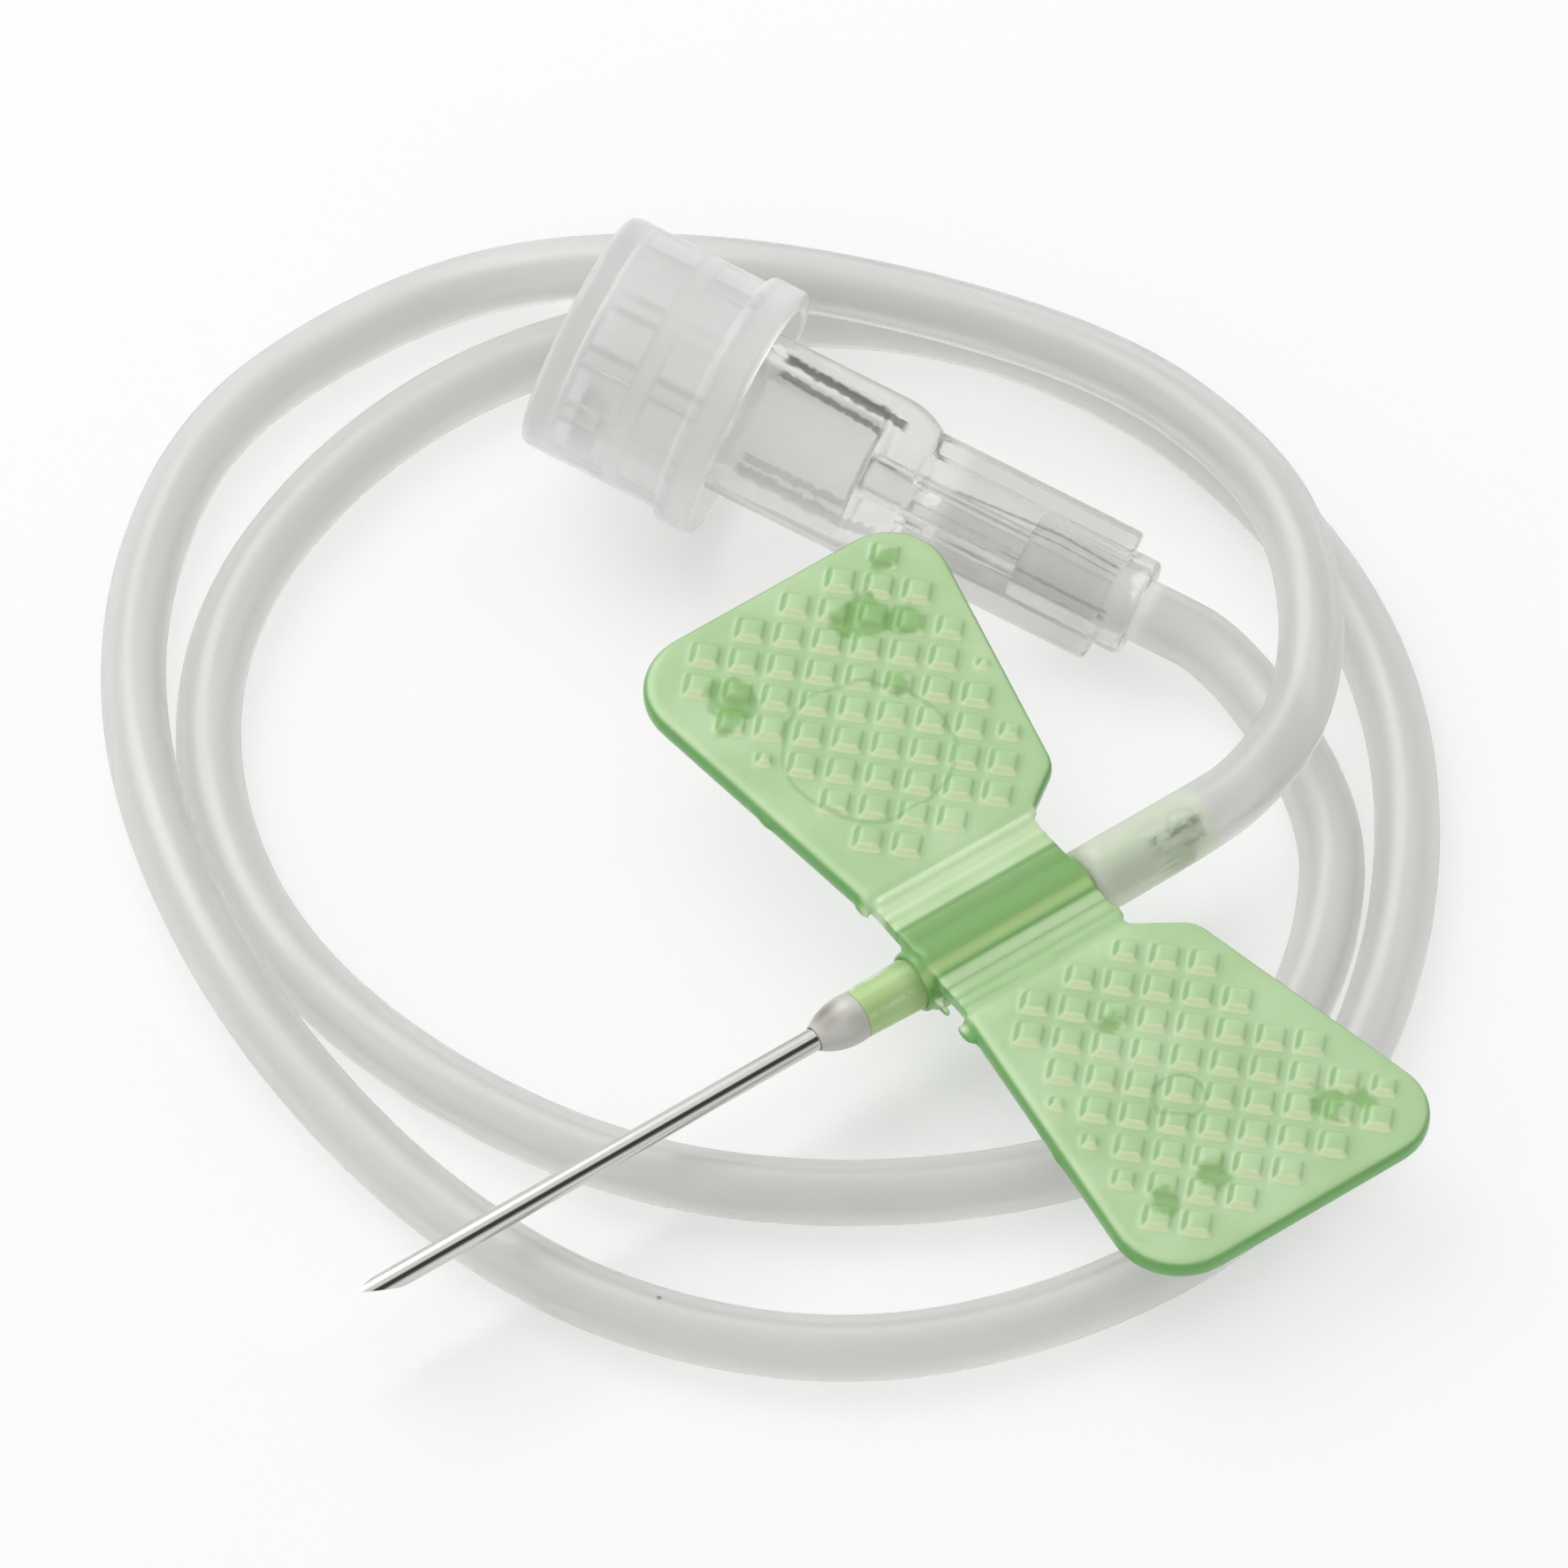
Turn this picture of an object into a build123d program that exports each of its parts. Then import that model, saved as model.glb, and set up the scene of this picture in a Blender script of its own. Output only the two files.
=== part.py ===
from build123d import *
import os
from math import cos, radians, sin, tan

# A butterfly needle: a bevelled cannula in a winged hub, a length of clear tubing and a capped luer connector.
# Millimetres. +Z is up, and the set lies on Z = 0 with its textured wing faces up.
# The hub's own frame has its origin where the cannula leaves the hub, the cannula along -X and a wing at each
# side in Y. The connector's own frame has its origin at the rear end of its ribs and +Z towards its mouth.

# Where the hub and the connector lie
needle_exit_x = -1.8
needle_exit_y = -7.4
needle_height = 3.7
head_roll = 2.0
connector_x = 18.7
connector_y = 3.15
connector_heading = 119.1
connector_rise = 11.0

# Gap left between pieces that are bonded or pushed together
bond_gap = 0.02

# Tubing
tube_radius = 1.15
tube_wall = 0.4

# Cannula, 21 gauge, with a lancet point; the length that is bonded in the hub is roughened
cannula_od = 0.82
cannula_wall = 0.155
cannula_exposed = 19.0
cannula_in_hub = 9.0
rough_start = 0.15
rough_fade = 0.8
rough_depth = 0.02
bevel_angle = 17.0
side_bevel_angle = 22.0
side_bevel_turn = 38.0

# Hub: front barrel, waist in the wing sleeve, spigot that the tubing is stretched over
barrel_end = 4.05
barrel_taper = 0.07
barrel_step = 0.05
waist_step = 0.05
waist_bare = 0.18
spigot_length = 4.6
spigot_grip = 0.1
spigot_lead = 0.7
spigot_tip_gap = 0.03
hub_bore_radius = 0.3

# Bead of resin round the cannula, running into a well in the hub
bead_length = 1.74
bead_front_edge = 0.04
bead_shoulder = 0.06
well_depth = 0.9
well_width = 0.19
well_fill = 0.6

# Wing sleeve and the saddle across its top
sleeve_length = 7.2
sleeve_wall = 0.38
lip_wall = 0.2
lip_length = 0.45
saddle_inset = 0.02
saddle_drop = 0.1

# Hinge strips
strip_front_inset = 0.33
strip_rear_inset = 0.07
strip_lap = 0.3
strip_thickness = 0.56
groove_width = 0.16
groove_depth = 0.12
groove_pitch = 0.42
groove_count = 3
groove_inset = 0.47

# Wings: level of the mid-plane above the cannula's axis, then the outline's corners from the sleeve's front end
wing_level = 0.9
wing_thickness = 0.84
wing_rim = 0.3
wing_root = 2.8
wing_reach = 13.15
wing_shoulder_reach = 1.3
wing_front_root = 0.13
wing_front_tip = -1.43
wing_rear_tip = 11.83
wing_rear_root = 9.08
front_corner_radius = 2.5
rear_corner_radius = 2.15
shoulder_radius = 1.1

# Raised pads of the wing texture, in rows at 45 degrees to the cannula; a middle is the place of one pad, along
# the hub from the sleeve's front end and outward from the wing's root; left is the side towards -Y
pad_pitch = 1.36
pad_side = 1.02
pad_height = 0.14
pad_draft = 35.0
pad_margin = 1.1
pad_front_margin = 1.6
pad_sink = 0.05
left_pads_middle = (6.28, 6.8)
right_pads_middle = (5.7, 6.1)

# Tubing's two ends: stretched over the spigot and pushed into the connector's collar
stretched_wall = 0.39
relax_length = 0.5
tube_overlap = 2.8
collar_socket = 3.4
tail_bend = 4.6

# Connector, along its axis from the rear end of its ribs
collar_length = 1.06
collar_wall = 0.625
collar_edge = 0.2
core_step = 0.055
rib_length = 7.76
rib_height = 0.615
rib_count = 4
rib_width = 1.5
rib_turn = 45.0
shoulder_length = 1.41
barrel_length = 10.43
mouth_bore_radius = 2.15
mouth_wall = 0.85
mouth_edge = 0.2
luer_taper = 0.03
socket_depth = 10.0
passage_radius = 0.6
lug_count = 2
lug_height = 0.9
lug_length = 0.9
lug_width = 2.6

# Cap
cap_cover = 5.36
cap_headroom = 0.6
cap_wall = 0.43
cap_end_wall = 0.9
cap_edge = 0.35
lug_clearance = 0.105
flange_length = 1.47
flange_step = 0.285
flange_edge = 0.45
flute_count = 16
flute_radius = 0.45
flute_depth = 0.14
flute_margin = 0.9
ring_groove_place = 3.2
ring_groove_width = 0.45
ring_groove_depth = 0.15
cone_reach = 5.0
cone_gap = 0.04

# Radii, each from the piece inside it
tube_bore_radius = tube_radius - tube_wall
cannula_radius = cannula_od / 2
cannula_hole = cannula_radius + bond_gap
rough_radius = cannula_radius - rough_depth
spigot_radius = tube_bore_radius + spigot_grip
spigot_tip_radius = tube_bore_radius - spigot_tip_gap
stretch_radius = spigot_radius + bond_gap + stretched_wall
waist_radius = spigot_radius + waist_step
barrel_rear_radius = waist_radius + barrel_step
barrel_front_radius = barrel_rear_radius - barrel_taper
bead_front_radius = cannula_hole + bead_front_edge
bead_bulge = barrel_front_radius - bead_shoulder
well_radius = cannula_hole + well_width
sleeve_bore_radius = waist_radius + bond_gap
sleeve_radius = sleeve_bore_radius + sleeve_wall
lip_radius = sleeve_bore_radius + lip_wall
collar_bore_radius = tube_radius + bond_gap
collar_radius = collar_bore_radius + collar_wall
core_radius = collar_radius + core_step
rib_radius = core_radius + rib_height
connector_radius = mouth_bore_radius + mouth_wall
lug_radius = connector_radius + lug_height
cavity_radius = lug_radius + lug_clearance
cap_radius = cavity_radius + cap_wall
flange_radius = cap_radius + flange_step

# Stations along the hub
barrel_start = bead_length + bond_gap
sleeve_start = barrel_end + bond_gap
sleeve_end = sleeve_start + sleeve_length
strip_start = sleeve_start + strip_front_inset
strip_end = sleeve_end - strip_rear_inset
waist_end = sleeve_end + waist_bare
spigot_end = waist_end + spigot_length
stretch_start = waist_end + bond_gap
tube_start = spigot_end + relax_length / 2 - tube_overlap

# Stations along the connector
shoulder_end = rib_length + shoulder_length
mouth = shoulder_end + barrel_length
flange_start = mouth - cap_cover
cavity_end = mouth + cap_headroom
cap_end = cavity_end + cap_end_wall

# Levels and widths of the wings
saddle_half_width = sleeve_radius - saddle_inset
saddle_top = sleeve_radius - saddle_drop
first_groove = saddle_half_width + groove_inset
strip_half_width = wing_root + strip_lap
wing_top = wing_level + wing_thickness / 2

# The head's frame and the connector's frame
head = Location((needle_exit_x, needle_exit_y, needle_height), (head_roll, 0, 0))
rise = radians(connector_rise)
heading = radians(connector_heading)
mouth_way = Vector(cos(rise) * cos(heading), cos(rise) * sin(heading), sin(rise))
across = Vector(-sin(heading), cos(heading), 0)
rib_end = Vector(connector_x, connector_y, rib_radius * cos(rise))
connector = Plane(origin=rib_end, x_dir=across, z_dir=mouth_way).location

# The tubing's route: off the spigot, once round over the connector's side, down to the surface, round to the
# rear, under the wings, round inside the first turn and up into the connector's collar
tube_route = [
    (tube_start + needle_exit_x, needle_exit_y, needle_height),
    (17.4, needle_exit_y, needle_height),
    (23.5, -2.2, 3.8),
    (25.4, 4.0, 3.9),
    (24.4, 10.5, 3.9),
    (20.3, 17.2, 3.9),
    (14.9, 23.0, 4.0),
    (10.4, 28.6, tube_radius),
    (4.2, 29.5, tube_radius),
    (-2.4, 28.6, tube_radius),
    (-8.3, 24.2, tube_radius),
    (-12.8, 17.8, 2.0),
    (-15.5, 10.2, 2.4),
    (-16.2, 2.9, 1.7),
    (-15.4, -4.7, tube_radius),
    (-13.0, -11.6, tube_radius),
    (-7.9, -17.4, tube_radius),
    (-0.8, -20.4, tube_radius),
    (7.2, -20.8, tube_radius),
    (14.3, -17.4, tube_radius),
    (20.3, -12.2, tube_radius),
    (24.8, -5.3, tube_radius),
    (26.5, 2.2, tube_radius),
    (25.7, 10.4, tube_radius),
    (22.0, 17.6, tube_radius),
    (15.6, 22.6, tube_radius),
    (8.2, 25.2, tube_radius),
    (0.8, 24.7, tube_radius),
    (-6.2, 21.7, tube_radius),
    (-11.1, 16.2, tube_radius),
    (-13.5, 8.8, tube_radius),
    (-12.7, 1.1, tube_radius),
    (-9.4, -6.5, tube_radius),
    (-3.9, -12.0, tube_radius),
    (3.4, -15.8, tube_radius),
    (10.4, -16.3, tube_radius),
    (15.9, -13.1, tube_radius),
    (19.9, -8.3, tube_radius),
]
tube_route.append(tuple(rib_end - mouth_way * tail_bend))
tube_route.append(tuple(rib_end + mouth_way * collar_socket))


def bar_x(start, end, radius, end_radius=None):
    """A round bar or cone on the X axis."""
    end_radius = radius if end_radius is None else end_radius
    outline = Polyline((start, 0), (start, radius), (end, end_radius), (end, 0), close=True)
    return revolve(make_face(outline), Axis.X)


def bar_z(start, end, radius, end_radius=None):
    """A round bar or cone on the Z axis."""
    end_radius = radius if end_radius is None else end_radius
    points = [(0, 0, start), (radius, 0, start), (end_radius, 0, end), (0, 0, end)]
    return revolve(make_face(Polyline(*points, close=True)), Axis.Z)


def bevel(angle, turn):
    """The stock below a plane that falls back from the cannula's point, turned about the cannula's axis."""
    stock = Box(40 * cannula_od, 8 * cannula_od, 8 * cannula_od, align=(Align.CENTER, Align.CENTER, Align.MAX))
    point = Location((-cannula_exposed, 0, cannula_radius))
    return point * Rot(turn, 0, 0) * Rot(0, angle, 0) * stock


def make_cannula():
    rough_full = rough_start + rough_fade
    tube = bar_x(-cannula_exposed, rough_start, cannula_radius)
    tube += bar_x(rough_start, rough_full, cannula_radius, rough_radius)
    tube += bar_x(rough_full, cannula_in_hub, rough_radius)
    tube -= bar_x(-cannula_exposed - 1, cannula_in_hub + 1, cannula_radius - cannula_wall)
    tube -= bevel(bevel_angle, 0)
    tube -= bevel(side_bevel_angle, side_bevel_turn)
    tube -= bevel(side_bevel_angle, -side_bevel_turn)
    return tube


def make_hub():
    outline = [
        (barrel_start, 0),
        (barrel_start, barrel_front_radius),
        (barrel_end, barrel_rear_radius),
        (barrel_end, waist_radius),
        (waist_end, waist_radius),
        (waist_end, spigot_radius),
        (spigot_end - spigot_lead, spigot_radius),
        (spigot_end, spigot_tip_radius),
        (spigot_end, 0),
    ]
    hub = revolve(make_face(Polyline(*outline, close=True)), Axis.X)
    hub -= bar_x(barrel_start, barrel_start + well_depth, well_radius, cannula_hole)
    hub -= bar_x(barrel_start, cannula_in_hub + bond_gap, cannula_hole)
    hub -= bar_x(cannula_in_hub, spigot_end, hub_bore_radius)
    return hub


def make_bead():
    dome = ThreePointArc(
        (0, bead_front_radius),
        (bead_length * 0.45, bead_bulge),
        (bead_length, barrel_front_radius),
    )
    narrowing = (well_radius - cannula_hole) * well_fill / well_depth
    back = Polyline(
        (bead_length, barrel_front_radius),
        (bead_length, well_radius - bond_gap),
        (bead_length + well_fill, well_radius - bond_gap - narrowing),
        (bead_length + well_fill, 0),
        (0, 0),
        (0, bead_front_radius),
    )
    bead = revolve(make_face(dome + back), Axis.X)
    return bead - bar_x(-1, bead_length + well_depth, cannula_hole)


def wing_outline():
    """The wing on the +Y side, seen from above."""
    tip = wing_root + wing_reach
    front_tip = (sleeve_start + wing_front_tip, tip)
    rear_tip = (sleeve_start + wing_rear_tip, tip)
    shoulder = (sleeve_start + wing_rear_root, wing_root + wing_shoulder_reach)
    front_root = (sleeve_start + wing_front_root, wing_root)
    outline = make_face(Polyline(front_root, front_tip, rear_tip, shoulder, (strip_end, wing_root), close=True))
    for spot, radius in (
        (front_tip, front_corner_radius),
        (rear_tip, rear_corner_radius),
        (shoulder, shoulder_radius),
    ):
        corner = outline.vertices().sort_by_distance(Vector(*spot, 0))[0]
        outline = fillet(corner, radius)
    return outline


def make_pads(outline, middle):
    """Every pad of one wing whose centre lies inside the plain margins."""
    inset = offset(outline, -pad_margin).face()
    field = (inset & Location((pad_front_margin - pad_margin, 0, 0)) * inset).face()
    steps = int(wing_reach / pad_pitch)
    block = extrude(Rectangle(pad_side, pad_side), pad_height + pad_sink, taper=pad_draft)
    pads = []
    for row in range(-steps, steps + 1):
        for column in range(-steps, steps + 1):
            place = Vector(row * pad_pitch, column * pad_pitch, 0).rotate(Axis.Z, 45)
            place += Vector(sleeve_start + middle[0], wing_root + middle[1], 0)
            if field.is_inside(place):
                pads.append(Location((place.X, place.Y, wing_top - pad_sink), (0, 0, 45)) * block)
    return pads


def make_wing(pads_middle):
    """The wing on the +Y side."""
    outline = wing_outline()
    plate = Location((0, 0, wing_top - wing_thickness)) * extrude(outline, wing_thickness)
    rims = plate.faces().sort_by(Axis.Z)[0].edges() + plate.faces().sort_by(Axis.Z)[-1].edges()
    return fillet(rims, wing_rim) + make_pads(outline, pads_middle)


def make_wing_plate():
    strip_length = strip_end - strip_start
    strip = Box(strip_length, 2 * strip_half_width, strip_thickness, align=(Align.MIN, Align.CENTER, Align.CENTER))
    plate = Location((strip_start, 0, wing_level)) * strip
    strip_top = wing_level + strip_thickness / 2
    for number in range(groove_count):
        for side in (-1, 1):
            groove = Box(strip_length + 1, groove_width, 2 * groove_depth)
            middle = (strip_start + strip_end) / 2
            plate -= Location((middle, side * (first_groove + number * groove_pitch), strip_top)) * groove
    saddle_height = saddle_top - (wing_level - strip_thickness / 2)
    saddle = Box(strip_length, 2 * saddle_half_width, saddle_height, align=(Align.MIN, Align.CENTER, Align.MAX))
    plate += Location((strip_start, 0, saddle_top)) * saddle
    plate += bar_x(sleeve_start, sleeve_start + lip_length, lip_radius)
    plate += bar_x(sleeve_start + lip_length, sleeve_end, sleeve_radius)
    plate += [make_wing(right_pads_middle), mirror(make_wing(left_pads_middle), Plane.XZ)]
    return plate - bar_x(sleeve_start - 1, sleeve_end + 1, sleeve_bore_radius)


def route_radii(points):
    """For each inner point, the largest arc that its two runs allow."""
    radii = []
    for before, here, after in zip(points, points[1:], points[2:]):
        run_in = Vector(*here) - Vector(*before)
        run_out = Vector(*after) - Vector(*here)
        turn = radians(run_in.get_angle(run_out))
        radii.append(0.45 * min(run_in.length, run_out.length) / tan(turn / 2))
    return radii


def make_tubing():
    """The tubing in the part's frame: its swept length and the stretched end on the spigot."""
    radii = route_radii(tube_route)
    path = FilletPolyline(*tube_route, radius=radii)
    print("tubing length", round(path.length + tube_start - stretch_start, 1))
    print("tubing radii", [round(radius, 1) for radius in radii])
    start = Plane(origin=path @ 0, z_dir=path % 0)
    outside = sweep(start * Circle(tube_radius), path)
    inside = sweep(start * Circle(tube_bore_radius), path)
    outside += head * bar_x(stretch_start, spigot_end, stretch_radius)
    outside += head * bar_x(spigot_end, spigot_end + relax_length, stretch_radius, tube_radius)
    seat = spigot_radius + bond_gap
    tube = outside - inside
    tube -= head * bar_x(stretch_start - 1, spigot_end - spigot_lead + bond_gap, seat)
    tube -= head * bar_x(spigot_end - spigot_lead, spigot_end + bond_gap, seat, tube_bore_radius)
    return tube


def make_connector():
    body = bar_z(-collar_length, 0, collar_radius)
    body = fillet(body.edges().sort_by(Axis.Z)[0], collar_edge)
    body += bar_z(0, rib_length, core_radius)
    ribs = bar_z(0, rib_length, rib_radius)
    slabs = []
    for number in range(rib_count):
        slab = Box(2 * rib_radius, rib_width, rib_length, align=(Align.MIN, Align.CENTER, Align.MIN))
        slabs.append(Rot(0, 0, rib_turn + number * 360 / rib_count) * slab)
    body += [slab & ribs for slab in slabs]
    shoulder = revolve(
        make_face(
            Polyline((0, 0, rib_length), (rib_radius, 0, rib_length))
            + ThreePointArc(
                (rib_radius, 0, rib_length),
                (
                    rib_radius + 0.8 * (connector_radius - rib_radius),
                    0,
                    rib_length + 0.45 * (shoulder_end - rib_length),
                ),
                (connector_radius, 0, shoulder_end),
            )
            + Polyline((connector_radius, 0, shoulder_end), (0, 0, shoulder_end), (0, 0, rib_length))
        ),
        Axis.Z,
    )
    barrel = bar_z(shoulder_end, mouth, connector_radius)
    barrel = fillet(barrel.edges().sort_by(Axis.Z)[-1], mouth_edge)
    body += [shoulder, barrel]
    lug_ring = bar_z(mouth - mouth_edge - lug_length, mouth - mouth_edge, lug_radius)
    lug_bar = Box(lug_radius, lug_width, 4 * lug_length, align=(Align.MIN, Align.CENTER, Align.CENTER))
    lugs = []
    for number in range(lug_count):
        turned = Location((0, 0, mouth - lug_length), (0, 0, number * 360 / lug_count)) * lug_bar
        lugs.append(turned & lug_ring)
    body += lugs
    bottom_radius = mouth_bore_radius - luer_taper * socket_depth
    body -= bar_z(mouth - socket_depth, mouth, bottom_radius, mouth_bore_radius)
    body -= bar_z(0, mouth, passage_radius)
    body -= bar_z(-collar_length - 1, collar_socket + bond_gap, collar_bore_radius)
    return body


def make_cap():
    flange = bar_z(flange_start, flange_start + flange_length, flange_radius)
    flange = fillet(flange.edges().filter_by(GeomType.CIRCLE), flange_edge)
    skirt = bar_z(flange_start, cap_end, cap_radius)
    skirt = fillet(skirt.edges().sort_by(Axis.Z)[-1], cap_edge)
    cap = flange + skirt
    cap -= bar_z(flange_start - 1, cavity_end, cavity_radius)
    groove_start = flange_start + ring_groove_place
    cap -= bar_z(groove_start, groove_start + ring_groove_width, cavity_radius + ring_groove_depth)
    flute_start = flange_start + flute_margin
    flute_length = cavity_end - flute_margin / 3 - flute_start
    flute = Cylinder(flute_radius, flute_length, align=(Align.CENTER, Align.CENTER, Align.MIN))
    flute_place = cavity_radius + flute_depth - flute_radius
    places = PolarLocations(flute_place, flute_count)
    cap -= [Location((0, 0, flute_start)) * place * flute for place in places]
    tip_radius = mouth_bore_radius - luer_taper * cone_reach - cone_gap
    cap += bar_z(mouth - cone_reach, mouth, tip_radius, mouth_bore_radius - cone_gap)
    cap += bar_z(mouth, cavity_end, mouth_bore_radius - cone_gap)
    return cap


pieces = {
    "needle_cannula": head * make_cannula(),
    "hub_nose": head * make_bead(),
    "needle_hub": head * make_hub(),
    "wing_plate": head * make_wing_plate(),
    "tubing": make_tubing(),
    "luer_connector": connector * make_connector(),
    "luer_cap": connector * make_cap(),
}

os.makedirs("parts", exist_ok=True)
for name, piece in pieces.items():
    export_step(piece, f"parts/{name}.step")
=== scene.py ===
import bpy
import bmesh
from math import cos, pi, radians, sin
from mathutils import Matrix, Vector


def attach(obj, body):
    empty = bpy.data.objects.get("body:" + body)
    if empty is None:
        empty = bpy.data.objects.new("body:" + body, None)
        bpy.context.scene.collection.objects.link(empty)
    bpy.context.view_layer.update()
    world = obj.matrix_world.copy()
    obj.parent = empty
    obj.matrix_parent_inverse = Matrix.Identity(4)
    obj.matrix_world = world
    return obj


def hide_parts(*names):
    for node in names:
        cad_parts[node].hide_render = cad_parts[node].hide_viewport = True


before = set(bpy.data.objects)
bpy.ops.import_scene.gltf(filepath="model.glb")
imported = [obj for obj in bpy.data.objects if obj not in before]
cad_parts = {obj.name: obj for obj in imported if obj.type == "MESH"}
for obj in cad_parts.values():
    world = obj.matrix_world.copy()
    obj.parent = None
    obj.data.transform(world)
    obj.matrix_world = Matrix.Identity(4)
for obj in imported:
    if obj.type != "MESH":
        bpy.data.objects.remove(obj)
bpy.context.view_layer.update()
print("frame loaded")

mm = 0.001

# Where the hub and the connector lie
headPlace = {"exitX": -1.8, "exitY": -7.4, "exitZ": 3.7, "roll": 2.0}
connectorPlace = {"x": 18.7, "y": 3.15, "ribRadius": 2.465, "heading": 119.1, "rise": 11.0}

headFrame = (
    Matrix.Translation(Vector((headPlace["exitX"], headPlace["exitY"], headPlace["exitZ"])) * mm)
    @ Matrix.Rotation(radians(headPlace["roll"]), 4, "X")
)
rise = radians(connectorPlace["rise"])
heading = radians(connectorPlace["heading"])
mouthWay = Vector((cos(rise) * cos(heading), cos(rise) * sin(heading), sin(rise)))
across = Vector((-sin(heading), cos(heading), 0))
ribEnd = Vector((connectorPlace["x"], connectorPlace["y"], connectorPlace["ribRadius"] * cos(rise)))
connectorTurn = Matrix((across, mouthWay.cross(across), mouthWay)).transposed()
connectorFrame = Matrix.Translation(ribEnd * mm) @ connectorTurn.to_4x4()


def hubPoint(point):
    return headFrame @ (Vector(point) * mm)


# Materials

def startMaterial(name):
    material = bpy.data.materials.new(name)
    material.use_nodes = True
    nodes = material.node_tree.nodes
    return material, nodes, material.node_tree.links, nodes["Principled BSDF"]


def surfaceNoise(nodes, links, scale, detail=2.0, stretch=(1, 1, 1)):
    place = nodes.new("ShaderNodeTexCoord")
    spread = nodes.new("ShaderNodeMapping")
    spread.inputs["Scale"].default_value = stretch
    noise = nodes.new("ShaderNodeTexNoise")
    noise.inputs["Scale"].default_value = scale
    noise.inputs["Detail"].default_value = detail
    links.new(place.outputs["Object"], spread.inputs["Vector"])
    links.new(spread.outputs["Vector"], noise.inputs["Vector"])
    return noise.outputs["Fac"]


def stepBetween(nodes, links, value, fromMin, fromMax, toMin=0.0, toMax=1.0):
    step = nodes.new("ShaderNodeMapRange")
    step.interpolation_type = "SMOOTHSTEP"
    step.inputs["From Min"].default_value = fromMin
    step.inputs["From Max"].default_value = fromMax
    step.inputs["To Min"].default_value = toMin
    step.inputs["To Max"].default_value = toMax
    links.new(value, step.inputs["Value"])
    return step.outputs["Result"]


def mixColors(nodes, links, factor, first, second):
    mix = nodes.new("ShaderNodeMix")
    mix.data_type = "RGBA"
    links.new(factor, mix.inputs["Factor"])
    for socket, color in (("A", first), ("B", second)):
        target = next(item for item in mix.inputs if item.name == socket and item.type == "RGBA")
        if isinstance(color, tuple):
            target.default_value = (*color, 1)
        else:
            links.new(color, target)
    return next(item for item in mix.outputs if item.type == "RGBA")


def calculate(nodes, links, operation, first, second=None):
    node = nodes.new("ShaderNodeMath")
    node.operation = operation
    for socket, value in zip(node.inputs, (first, second)):
        if isinstance(value, (int, float)):
            socket.default_value = value
        elif value is not None:
            links.new(value, socket)
    return node.outputs["Value"]


def product(nodes, links, *values):
    result = values[0]
    for value in values[1:]:
        result = calculate(nodes, links, "MULTIPLY", result, value)
    return result


def offFrom(nodes, links, value, middle):
    # how far a value is from a middle one, either way
    return calculate(nodes, links, "ABSOLUTE", calculate(nodes, links, "SUBTRACT", value, middle))


def addBump(nodes, links, shader, height, look):
    node = nodes.new("ShaderNodeBump")
    node.inputs["Strength"].default_value = look["bumpStrength"]
    node.inputs["Distance"].default_value = look["bumpDepth"] * mm
    links.new(height, node.inputs["Height"])
    links.new(node.outputs["Normal"], shader.inputs["Normal"])


def distanceFrom(nodes, links, spot, ragged=None):
    # from a spot on the object, with a ragged edge if a shift is given
    place = nodes.new("ShaderNodeTexCoord")
    gap = nodes.new("ShaderNodeVectorMath")
    gap.operation = "DISTANCE"
    gap.inputs[1].default_value = spot
    links.new(place.outputs["Object"], gap.inputs[0])
    if ragged is None:
        return gap.outputs["Value"]
    return calculate(nodes, links, "ADD", gap.outputs["Value"], ragged)


def raggedShift(nodes, links, noise, wander):
    return product(nodes, links, calculate(nodes, links, "SUBTRACT", noise, 0.5), wander)


def facing(nodes, links, way):
    # how far the surface is turned towards a fixed way of the object
    place = nodes.new("ShaderNodeTexCoord")
    dot = nodes.new("ShaderNodeVectorMath")
    dot.operation = "DOT_PRODUCT"
    dot.inputs[1].default_value = way
    links.new(place.outputs["Normal"], dot.inputs[0])
    return dot.outputs["Value"]


def offsetAlong(nodes, links, start, way):
    # distance from a start point, measured along one way only
    place = nodes.new("ShaderNodeTexCoord")
    shift = nodes.new("ShaderNodeVectorMath")
    shift.operation = "SUBTRACT"
    shift.inputs[1].default_value = start
    links.new(place.outputs["Object"], shift.inputs[0])
    dot = nodes.new("ShaderNodeVectorMath")
    dot.operation = "DOT_PRODUCT"
    dot.inputs[1].default_value = way
    links.new(shift.outputs["Vector"], dot.inputs[0])
    return dot.outputs["Value"]


def hubOffsets(nodes, links):
    # place of a surface point along, across and above the hub's own axes
    turn = headFrame.to_3x3()
    return [offsetAlong(nodes, links, hubPoint((0, 0, 0)), turn.col[axis]) for axis in range(3)]


def bandOver(nodes, links, value, low, high, edge, strength=1.0):
    # one between low and high, with soft edges
    rising = stepBetween(nodes, links, value, low - edge, low + edge)
    falling = stepBetween(nodes, links, value, high + edge, high - edge)
    return product(nodes, links, rising, falling, strength)


def letLampsThrough(nodes, links, shader, look):
    # clear plastic passes most of the lamps' light, so its shadow stays pale
    ray = nodes.new("ShaderNodeLightPath")
    passing = nodes.new("ShaderNodeBsdfTransparent")
    passing.inputs["Color"].default_value = (*look["lampTint"], 1)
    mix = nodes.new("ShaderNodeMixShader")
    passed = calculate(nodes, links, "MAXIMUM", ray.outputs["Is Shadow Ray"], ray.outputs["Is Diffuse Ray"])
    links.new(product(nodes, links, passed, look["lampShare"]), mix.inputs["Fac"])
    links.new(shader.outputs["BSDF"], mix.inputs[1])
    links.new(passing.outputs["BSDF"], mix.inputs[2])
    links.new(mix.outputs["Shader"], nodes["Material Output"].inputs["Surface"])


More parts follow.
